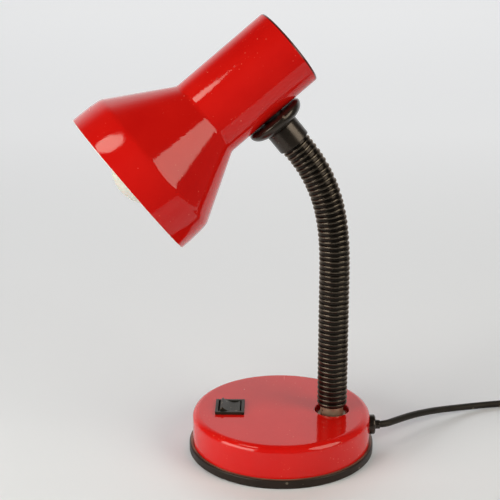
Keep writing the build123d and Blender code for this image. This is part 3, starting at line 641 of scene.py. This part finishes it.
# %% [markdown]
# ## Ribbed neck
# Nineteen short links stand for the wound tube of the neck. Each has three round ribs, a ball-shaped lip
# that sits in the next link, and a socket for the lip below. One link is turned and copied, and each copy
# is set on its own place along the bend, where it rides on its own body. The lower links stand straight,
# the next ones lean more and more, and the last ones share the bend evenly.

# %% One link
link_count = 19
ribs_per_link = 3
link_length = 11.45
rib_pitch = link_length / ribs_per_link
rib_root = 10.6
rib_crest = 11.3
rib_half_width = 1.05
rib_steps = 8
ball_radius = 10.3
ball_steps = 6
socket_radius = 10.42
socket_depth = 4.11
bore = 7.85
lip_foot = -0.85
lip_top = 2.4


def link_outline(foot, first_rib):
    """Half section of a link from its foot up, as a closed line of (radius, height)."""
    outline = list(foot)
    for rib in range(first_rib, ribs_per_link):
        for step in range(rib_steps + 1):
            across = -math.cos(math.pi * step / rib_steps)
            height = rib_pitch * (rib + 0.5) + rib_half_width * across
            outline.append((rib_root + (rib_crest - rib_root) * math.sqrt(1 - across**2), height))
    for step in range(ball_steps + 1):
        rise = lip_foot + (lip_top - lip_foot) * step / ball_steps
        outline.append((math.sqrt(ball_radius**2 - rise**2), link_length + rise))
    return outline + [(bore, link_length + lip_top), (bore, foot[0][1]), foot[0]]


def ribbed_link(name, foot, first_rib):
    link = turned(name, link_outline(foot, first_rib), 72)
    crest = link.data.attributes.new("crest", "FLOAT", "POINT")
    for vertex, mark in zip(link.data.vertices, crest.data):
        out = math.hypot(vertex.co.x, vertex.co.y) / MM
        mark.value = max(0, (out - rib_root) / (rib_crest - rib_root))
    smoothed(link, 50)
    return link


lowest_link = ribbed_link("neck_rib_01", [(rib_root - 0.3, 7.2), (rib_root, 7.4)], 2)
link = ribbed_link("neck_rib_02", [(socket_radius, socket_depth), (socket_radius, 0.9)], 0)
print("link:", len(link.data.polygons), "faces")

# %% Places along the bend
neck_foot = 29.1
neck_lean = 39.1
straight_links = 10
growing_links = 6
growth = [min(max(k - straight_links, 0) / growing_links, 1) for k in range(1, link_count + 1)]
bend_shares = [weight / sum(growth) for weight in growth]


def neck_places():
    """One place per link, at its lower pivot, and last the collar's place."""
    at = Vector((neck_x, 0, neck_foot))
    lean = 0
    places = []
    for share in bend_shares:
        lean += neck_lean * share
        tilt = turn(-lean, "Y")
        places.append(moved(*at) @ tilt)
        at = at + tilt @ Vector((0, 0, link_length))
    return places + [moved(*at) @ turn(-lean, "Y")]


places = neck_places()
print("places along the neck:", len(places))

# %% Links in their places
link_bodies = ["base"] + [f"neck_{k:02d}" for k in range(2, link_count + 1)]
links = [lowest_link, link]
for k in range(3, link_count + 1):
    copy = link.copy()
    copy.data = link.data.copy()
    copy.name = copy.data.name = f"neck_rib_{k:02d}"
    bpy.context.scene.collection.objects.link(copy)
    links.append(copy)
for k, (piece, body, place) in enumerate(zip(links, link_bodies, places), start=1):
    put(piece, place)
    hand_over(piece, body, "neck_dark", f"neck_link_{k:02d}")

# %% [markdown]
# ## Cable inside the neck
# A cable runs up the middle of the neck. It is one solid in the CAD model, but a rigid rod would stick out
# of a bent neck, so here it is one short length per link, each with rounded ends, riding on that link.

# %% Cable lengths
cable_radius = 2.65
cable_foot = 17.85
cable_gap = 0.4


def cable_length(name, bottom, top):
    rounding = 0.4
    section = [(0, bottom), (cable_radius, bottom, rounding), (cable_radius, top, rounding), (0, top)]
    return turned(name, eased(section, steps=3), 24)


cable = cable_length("cable_base", cable_foot - neck_foot, link_length - cable_gap)
put(cable, places[0])
hand_over(cable, "base", "white_moulding", "neck_cable", finish=finishes["neck_cable"])
for k in range(2, link_count + 1):
    cable = cable_length(f"cable_{k:02d}", cable_gap, link_length - cable_gap)
    put(cable, places[k - 1])
    hand_over(cable, link_bodies[k - 1], "white_moulding", finish=finishes["neck_cable"])

# %% [markdown]
# ## Collar and dome
# A smooth black collar ends the neck, and a glossy black knob turns on it and carries the shade. Both are
# plain turned pieces; the knob swells in one elliptical quarter and rolls over to its flat top in another.

# %% Collar
collar_place = places[-1]
collar_radius = 12.3
collar_bore = 10.05
collar_top = 16.5
collar_floor = 12.5
nipple_bore = 5.06
collar = turned("collar_sleeve", eased([
    (collar_bore, 1.0), (collar_radius, 1.0, 0.7), (collar_radius, 8.0), (collar_radius, collar_top, 0.7),
    (nipple_bore, collar_top), (nipple_bore, collar_floor), (collar_bore, collar_floor),
    (collar_bore, 1.0),
]), 72)
smoothed(collar)
put(collar, collar_place)
hand_over(collar, "neck_19", "satin_black", "neck_collar")

# %% Dome
head_turn = 13.1
head_place = collar_place @ turn(head_turn, "Z")
dome_foot = 16.8
dome_widest = 23.6
dome_top = 25.9
dome_foot_radius = 11.8
dome_flat_radius = 17.5
dome_bore = 5.1
seat_radius = 8.1
seat_floor = 24.4
swell_width = 10.2
swell_height = dome_widest - dome_foot
roll_width = dome_foot_radius + swell_width - dome_flat_radius
roll_height = dome_top - dome_widest
quarter_steps = 18
quarter = [math.pi / 2 / quarter_steps * i for i in range(quarter_steps + 1)]
dome_swell = [
    (dome_foot_radius + swell_width * math.sin(a), dome_widest - swell_height * math.cos(a))
    for a in quarter
]
dome_roll = [
    (dome_flat_radius + roll_width * math.cos(a), dome_widest + roll_height * math.sin(a))
    for a in quarter[2::2]
]
dome_seat = [
    (seat_radius, dome_top), (seat_radius, seat_floor), (dome_bore, seat_floor), (dome_bore, dome_foot),
]
dome = turned("dome_knob", [(dome_bore, dome_foot)] + dome_swell + dome_roll + dome_seat, 96)
smoothed(dome)
put(dome, head_place)
hand_over(dome, "head", "dome_black", "dome_cap")

# %% [markdown]
# ## Shade
# The shade is spun from sheet in one piece: a closed tube, a cone and a short skirt, with crisp creases
# between them, red outside and white inside. The wall is turned with both skins, and the faces of the inner
# skin and of the cut edge at the mouth take the white.

# %% Shade
shade_place = head_place @ moved(0, 0, 56.3) @ turn(-90, "Y")
tube_radius = 30.1
tube_inner = 29.1
crease_radius = 57.7
crease = 85.3
mouth = 109.4


def skirt_bulge():
    """The skirt is a little barrel-shaped between crease and mouth, which rounds its highlight."""
    shares = [0.25, 0.4, 0.55, 0.7, 0.85]
    return [(crease_radius + 1.4 * s + 1.6 * s * (1 - s), crease + (mouth - crease) * s) for s in shares]


outer_skin = [
    (0, -41.9), (14.1, -41.68), (28.3, -41.0), (tube_radius, -41.0, 1.7), (tube_radius, 0),
    (tube_radius, 38.2, 7.0), (43.9, 61.75), (crease_radius, crease, 12.0), *skirt_bulge(),
    (59.05, mouth, 0.35),
]
inner_skin = [
    (58.1, mouth, 0.35), (57.4, 97.0), (56.78, 85.6, 8.0), (43.0, 62.1), (tube_inner, 38.5, 8.0),
    (tube_inner, 0), (tube_inner, -40.0, 0.8), (27.9, -40.0), (14.1, -40.68), (0, -40.9),
]
shade = turned("shade_shell", eased(outer_skin + inner_skin, steps=6), 144)
cut_round(shade, "nipple_hole", rod(5.2, -35, -25), turn(90, "Y"))
print(shade.name, len(shade.data.polygons), "faces")

# %% White lining and dark end ring of the shade
lip = 109.0
tube_floor = -40
rim_inner = 29.2
rim_outer = 30.05
rim_level = -39.6
shade.data.materials.append(finishes["red_enamel"])
shade.data.materials.append(finishes["lining_white"])
for face in shade.data.polygons:
    middle, normal = face.center, face.normal
    inwards = middle.x * normal.x + middle.y * normal.y < 0
    if (inwards and middle.z > tube_floor * MM) or middle.z > lip * MM:
        face.material_index = 1
# Marks the ring at the rim of the tube's closed end that the red enamel paints darker.
dark_end_ring = shade.data.attributes.new("dark_end_ring", "FLOAT", "POINT")
for vertex, mark in zip(shade.data.vertices, dark_end_ring.data):
    out = math.hypot(vertex.co.x, vertex.co.y) / MM
    along = vertex.co.z / MM
    mark.value = 1.0 if rim_inner < out < rim_outer and along < rim_level else 0.0
smoothed(shade)
put(shade, shade_place)
hand_over(shade, "head", "red_enamel", "shade")

# %% [markdown]
# ## Bulb
# A pearl bulb looks out of the mouth by its last few millimetres. It is turned as one closed skin in the
# shape of the glass, with a milky finish that lets some light through.

# %% Pearl glass
pearl, tree, shader, place_here = start_finish(
    "pearl glass", Transmission_Weight=0.1, IOR=1.45, Subsurface_Weight=0.25
)
share = effect(tree, "Uneven", Place=place_here, Scale=35.0)
milk = mix_colours(tree, share, (0.64, 0.645, 0.565, 1), (0.69, 0.70, 0.63, 1))
connect(tree, shader.inputs["Base Color"], milk)
gloss = effect(tree, "Uneven", Place=place_here, Scale=60.0, Low=0.14, High=0.24)
connect(tree, shader.inputs["Roughness"], gloss)
finishes["bulb_glass"] = pearl
print("pearl glass ready")

# %% Bulb
globe_radius = 27.5
globe_middle = 89.2
neck_radius = 15.6
neck_top = 54.0
flow_steps = 8
globe_steps = 24


def bulb_outline():
    """Seal, neck and globe: the neck's curve flows into the globe below its middle."""
    neck = eased([(0, 38.6), (12.4, 38.6), (12.4, 42.5), (15.0, 46.4, 3.0), (neck_radius, neck_top)], steps=4)
    meet = math.radians(40)
    join = (globe_radius * math.cos(meet), globe_middle - globe_radius * math.sin(meet))
    flow = []
    for step in range(1, flow_steps):
        angle = math.pi / 2 * step / flow_steps
        out = neck_radius + (join[0] - neck_radius) * (1 - math.cos(angle)) ** 0.9
        flow.append((out, neck_top + (join[1] - neck_top) * math.sin(angle)))
    globe = []
    for step in range(globe_steps + 1):
        angle = -meet + (math.pi / 2 + meet) * step / globe_steps
        globe.append((globe_radius * math.cos(angle), globe_middle + globe_radius * math.sin(angle)))
    return neck + flow + globe


bulb = turned("pearl_bulb", bulb_outline(), 96)
smoothed(bulb)
put(bulb, shade_place)
hand_over(bulb, "head", "bulb_glass", "bulb_glass")

# %% [markdown]
# ## Switch
# A black rocker in a square bezel. The bezel is a block with its window cut and all its edges broken; the
# rocker is drawn as its side view, filled, and pulled out to its width, with a hollow along its top.

# %% Switch body
bezel_height = 2.2
case_height = 14.0
body = box("switch_bezel", (22, 24, bezel_height), (switch_x, 0, drum_top + bezel_height / 2))
cut(body, box("case", (20.2, 22.2, case_height), (switch_x, 0, drum_top - 6.0)), "UNION")
cut(body, box("window", (17.2, 18.4, case_height), (switch_x, 0, 28.6)))
broken_edges(body, 0.55)
smoothed(body)
hand_over(body, "base", "switch_black", "switch_body")

# %% Rocker
def side_view(name, outline, width):
    """A flat outline in the XZ plane, filled and pulled out to both sides."""
    piece = drawn_line(name, [(x, -width / 2, z) for x, z in outline])
    bpy.ops.mesh.select_all(action="SELECT")
    bpy.ops.mesh.edge_face_add()
    bpy.ops.mesh.extrude_region_move(TRANSFORM_OT_translate={"value": (0, width * MM, 0)})
    tidy_mesh()
    bpy.ops.object.mode_set(mode="OBJECT")
    return piece


def arc(start, end, steps):
    """Angles in even steps, both ends included."""
    return [start + (end - start) * step / steps for step in range(steps + 1)]


def rocker_outline():
    radius, crest_height, valley, keel = 8.2, 4.6, 2.5, 3.4
    reach = math.sqrt(radius**2 - crest_height**2)
    sag = crest_height - valley
    hollow = (reach**2 + sag**2) / (2 * sag)
    sweep = math.asin(reach / hollow)
    top = [(hollow * math.sin(a), valley + hollow - hollow * math.cos(a)) for a in arc(-sweep, sweep, 14)]
    high = math.asin(crest_height / radius)
    low = -math.asin(keel / radius)
    right = [(radius * math.cos(a), radius * math.sin(a)) for a in arc(high, low, 8)[1:]]
    return top + right + [(-x, z) for x, z in reversed(right)]


rocker_pivot = 30.7
rocker_tilt = 12
rocker = side_view("rocker_paddle", rocker_outline(), 17.6)
broken_edges(rocker, 0.4)
smoothed(rocker)
put(rocker, moved(switch_x, 0, rocker_pivot) @ turn(rocker_tilt, "Y"))
hand_over(rocker, "rocker", "switch_black", "switch_rocker")

# %% [markdown]
# ## Ferrule and grommet
# The neck stands in the cup on a dull bronze ferrule, slimmer than its ribs. On the right, a black rubber
# grommet with a rounded flange fills the cord's hole, and a short sleeve of it runs out along the cord.

# %% Ferrule
ferrule_radius = 8.65
ferrule_foot = 28.25
ferrule_top = 36.3
ferrule = turned("foot_ferrule", eased([
    (bore, ferrule_foot), (ferrule_radius, ferrule_foot, 0.2), (ferrule_radius, ferrule_top, 0.2),
    (bore, ferrule_top), (bore, ferrule_foot),
]), 72)
smoothed(ferrule)
put(ferrule, neck_spot)
hand_over(ferrule, "base", "bronze", "neck_ferrule")

# %% Grommet
grommet_bore = 2.7
grommet_back = 64.1
grommet_end = 75.2
flange_face = 71.6
grommet = turned("flange_grommet", eased([
    (grommet_bore, grommet_back), (6.6, grommet_back), (6.6, 66.05), (5.4, 66.05), (5.4, 66.7), (7.5, 66.7),
    (7.5, flange_face, 1.6), (3.6, flange_face, 0.5), (3.3, grommet_end, 0.4), (grommet_bore, grommet_end),
    (grommet_bore, grommet_back),
]), 64)
smoothed(grommet)
put(grommet, cord_axis)
hand_over(grommet, "base", "satin_black", "cord_grommet")

# %% [markdown]
# ## Solids that stay
# The pieces inside the base and the head, the foot tray, the tie and the plug have the right shape as they
# come from the CAD model, so they stay and only take a finish. The lip of the foot tray is painted with a
# thin light brown band, by height, over its black.

# %% Light brown band on the lip of the foot tray
tree = finishes["foot_black"].node_tree
shader = tree.nodes["Principled BSDF"]
place_here = add_node(tree, "ShaderNodeTexCoord").outputs["Object"]
height = add_node(tree, "ShaderNodeSeparateXYZ", Vector=place_here).outputs["Z"]
# A thin light brown band is painted on the lip, by height, in patches.
on_lip = ramp(tree, height, 6.85 * MM, 6.95 * MM)
patches = effect(tree, "Uneven", Place=place_here, Scale=55.0, Low=0.3, High=1.0)
patchy = calculate(tree, "MULTIPLY", on_lip, patches)
black = shader.inputs["Base Color"].links[0].from_socket
lip_band_colour = mix_colours(tree, patchy, black, (0.25, 0.12, 0.08, 1))
connect(tree, shader.inputs["Base Color"], lip_band_colour)
print("dust on the lip ready")

# %% Finishes of the solids that stay
kept_solids = {
    "foot_black": ["base_tray"],
    "weight_iron": ["base_weight"],
    "steel": [
        "housing_posts", "tray_screws", "clamp_screws", "neck_washer", "neck_locknut", "swivel_nut", "nipple",
        "nipple_washer", "nipple_nut", "holder_bracket", "holder_stud",
    ],
    "holder_brass": ["switch_terminals", "holder_shell", "holder_contact"],
    "white_moulding": ["cord_clamp", "terminal_block"],
    "cord_black": ["base_cord", "cord_tie"],
    "wire_sleeve": ["base_wires", "holder_leads"],
    "nickel": ["plug_pins"],
    "bronze": ["neck_foot"],
    "spacer_black": ["head_spacer"],
    "holder_moulding": ["holder_body"],
    "cap_metal": ["bulb_cap"],
    "stem_glass": ["bulb_stem"],
    "plug_black": ["plug_body"],
}
for slot, names in kept_solids.items():
    for name in names:
        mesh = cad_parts[name].data
        mesh.materials.clear()
        mesh.materials.append(finishes[slot])
print("solids that stay:", sum(len(names) for names in kept_solids.values()))

# %% [markdown]
# ## Floor
# The lamp stands on a long sheet of pale, slightly cool paper, which ends not far in front of the lamp, so
# that the shade's tube mirrors a dark room there. Behind the lamp the paper grows paler. For the camera,
# for mirrors and for glass it also glows a little, which lightens the background and not the lamp.

# %% Floor
bpy.ops.object.select_all(action="DESELECT")
bpy.ops.mesh.primitive_plane_add(size=1, location=(-0.08, 1.14, -0.0002))
floor = bpy.context.object
floor.scale = (1.16, 3.12, 1)
floor.name = "floor"
floor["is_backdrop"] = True
paper, tree, shader, place_here = start_finish("pale paper", Roughness=0.9, Specular_IOR_Level=0.1)
along = add_node(tree, "ShaderNodeSeparateXYZ", Vector=place_here).outputs["Y"]
tone = effect(tree, "Uneven", Place=place_here, Scale=2.0)
near = mix_colours(tree, tone, (0.755, 0.785, 0.835, 1), (0.775, 0.805, 0.855, 1))
far = (0.87, 0.885, 0.905, 1)
connect(tree, shader.inputs["Base Color"], mix_colours(tree, ramp(tree, along, -0.35, 0.25), near, far))
floor.data.materials.append(paper)
print("floor ready")

# %% Glow of the far paper
path = add_node(tree, "ShaderNodeLightPath")
seen = path.outputs["Is Camera Ray"]
for ray in ("Is Glossy Ray", "Is Transmission Ray"):
    seen = calculate(tree, "MAXIMUM", seen, path.outputs[ray])
glow = ramp(tree, along, -0.42, -0.06, 0.0, 0.25)
connect(tree, shader.inputs["Emission Strength"], calculate(tree, "MULTIPLY", seen, glow))
print("glow ready")

# %% [markdown]
# ## Light
# The lights are placed where the photographed lamp mirrors them: a wide softbox low on the left, a taller
# one on the right that draws the pale panel on the shade's cone, and a small oval one high on the left that
# draws the oval on the skirt. They are a little warm, which the cool paper evens out. A large dim panel
# lights the paper behind and is kept out of the enamel's mirror. The room is bright only behind the lamp,
# where the paper would rise, so the enamel stays deep elsewhere.

# %% Room
room = bpy.data.worlds.new("room")
room.use_nodes = True
sky = room.node_tree
way = add_node(sky, "ShaderNodeTexCoord").outputs["Generated"]
parts = add_node(sky, "ShaderNodeSeparateXYZ", Vector=way)
backdrop = sky.nodes["Background"]
behind = ramp(sky, parts.outputs["Y"], 0.42, 0.86, 0.09, 1.0, "SMOOTHSTEP")
overhead = ramp(sky, parts.outputs["Z"], 0.5, 0.85, 1.0, 0.3, "SMOOTHSTEP")
connect(sky, backdrop.inputs["Color"], behind)
connect(sky, backdrop.inputs["Strength"], overhead)
bpy.context.scene.world = room
print("room ready")

# %% Softboxes
def softbox(name, shape, at, target, width, height, watts, tint=(1, 1, 1)):
    bpy.ops.object.select_all(action="DESELECT")
    aim = (Vector(target) - Vector(at)).to_track_quat("-Z", "Y").to_euler()
    bpy.ops.object.light_add(type="AREA", location=at, rotation=aim)
    lamp = bpy.context.object
    lamp.name = name
    lamp.data.shape = shape
    lamp.data.size = width
    lamp.data.size_y = height
    lamp.data.energy = watts
    lamp.data.color = tint
    return lamp


warm_white = (1.0, 0.93, 0.79)
soft_white = (1.0, 0.95, 0.86)
softbox("left_softbox", "RECTANGLE", (-0.95, -0.67, 0.34), (0, 0, 0.03), 0.97, 0.64, 13, soft_white)
softbox("right_softbox", "ELLIPSE", (1.13, -0.66, 0.75), (0, 0, 0.2), 1.04, 1.21, 13.4, warm_white)
softbox("oval_softbox", "ELLIPSE", (-0.465, -0.31, 0.835), (-0.11, -0.04, 0.24), 0.34, 0.17, 1.1, warm_white)
panel = softbox("back_panel", "RECTANGLE", (0, 2.2, 2.0), (0, 1.8, 0), 3.6, 1.8, 28)
panel.visible_glossy = False

# %% Size
visual_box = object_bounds()
for label, (low, high) in (("cad", cad_box), ("visual", visual_box)):
    print(label, [round(x, 4) for x in low], [round(x, 4) for x in high])
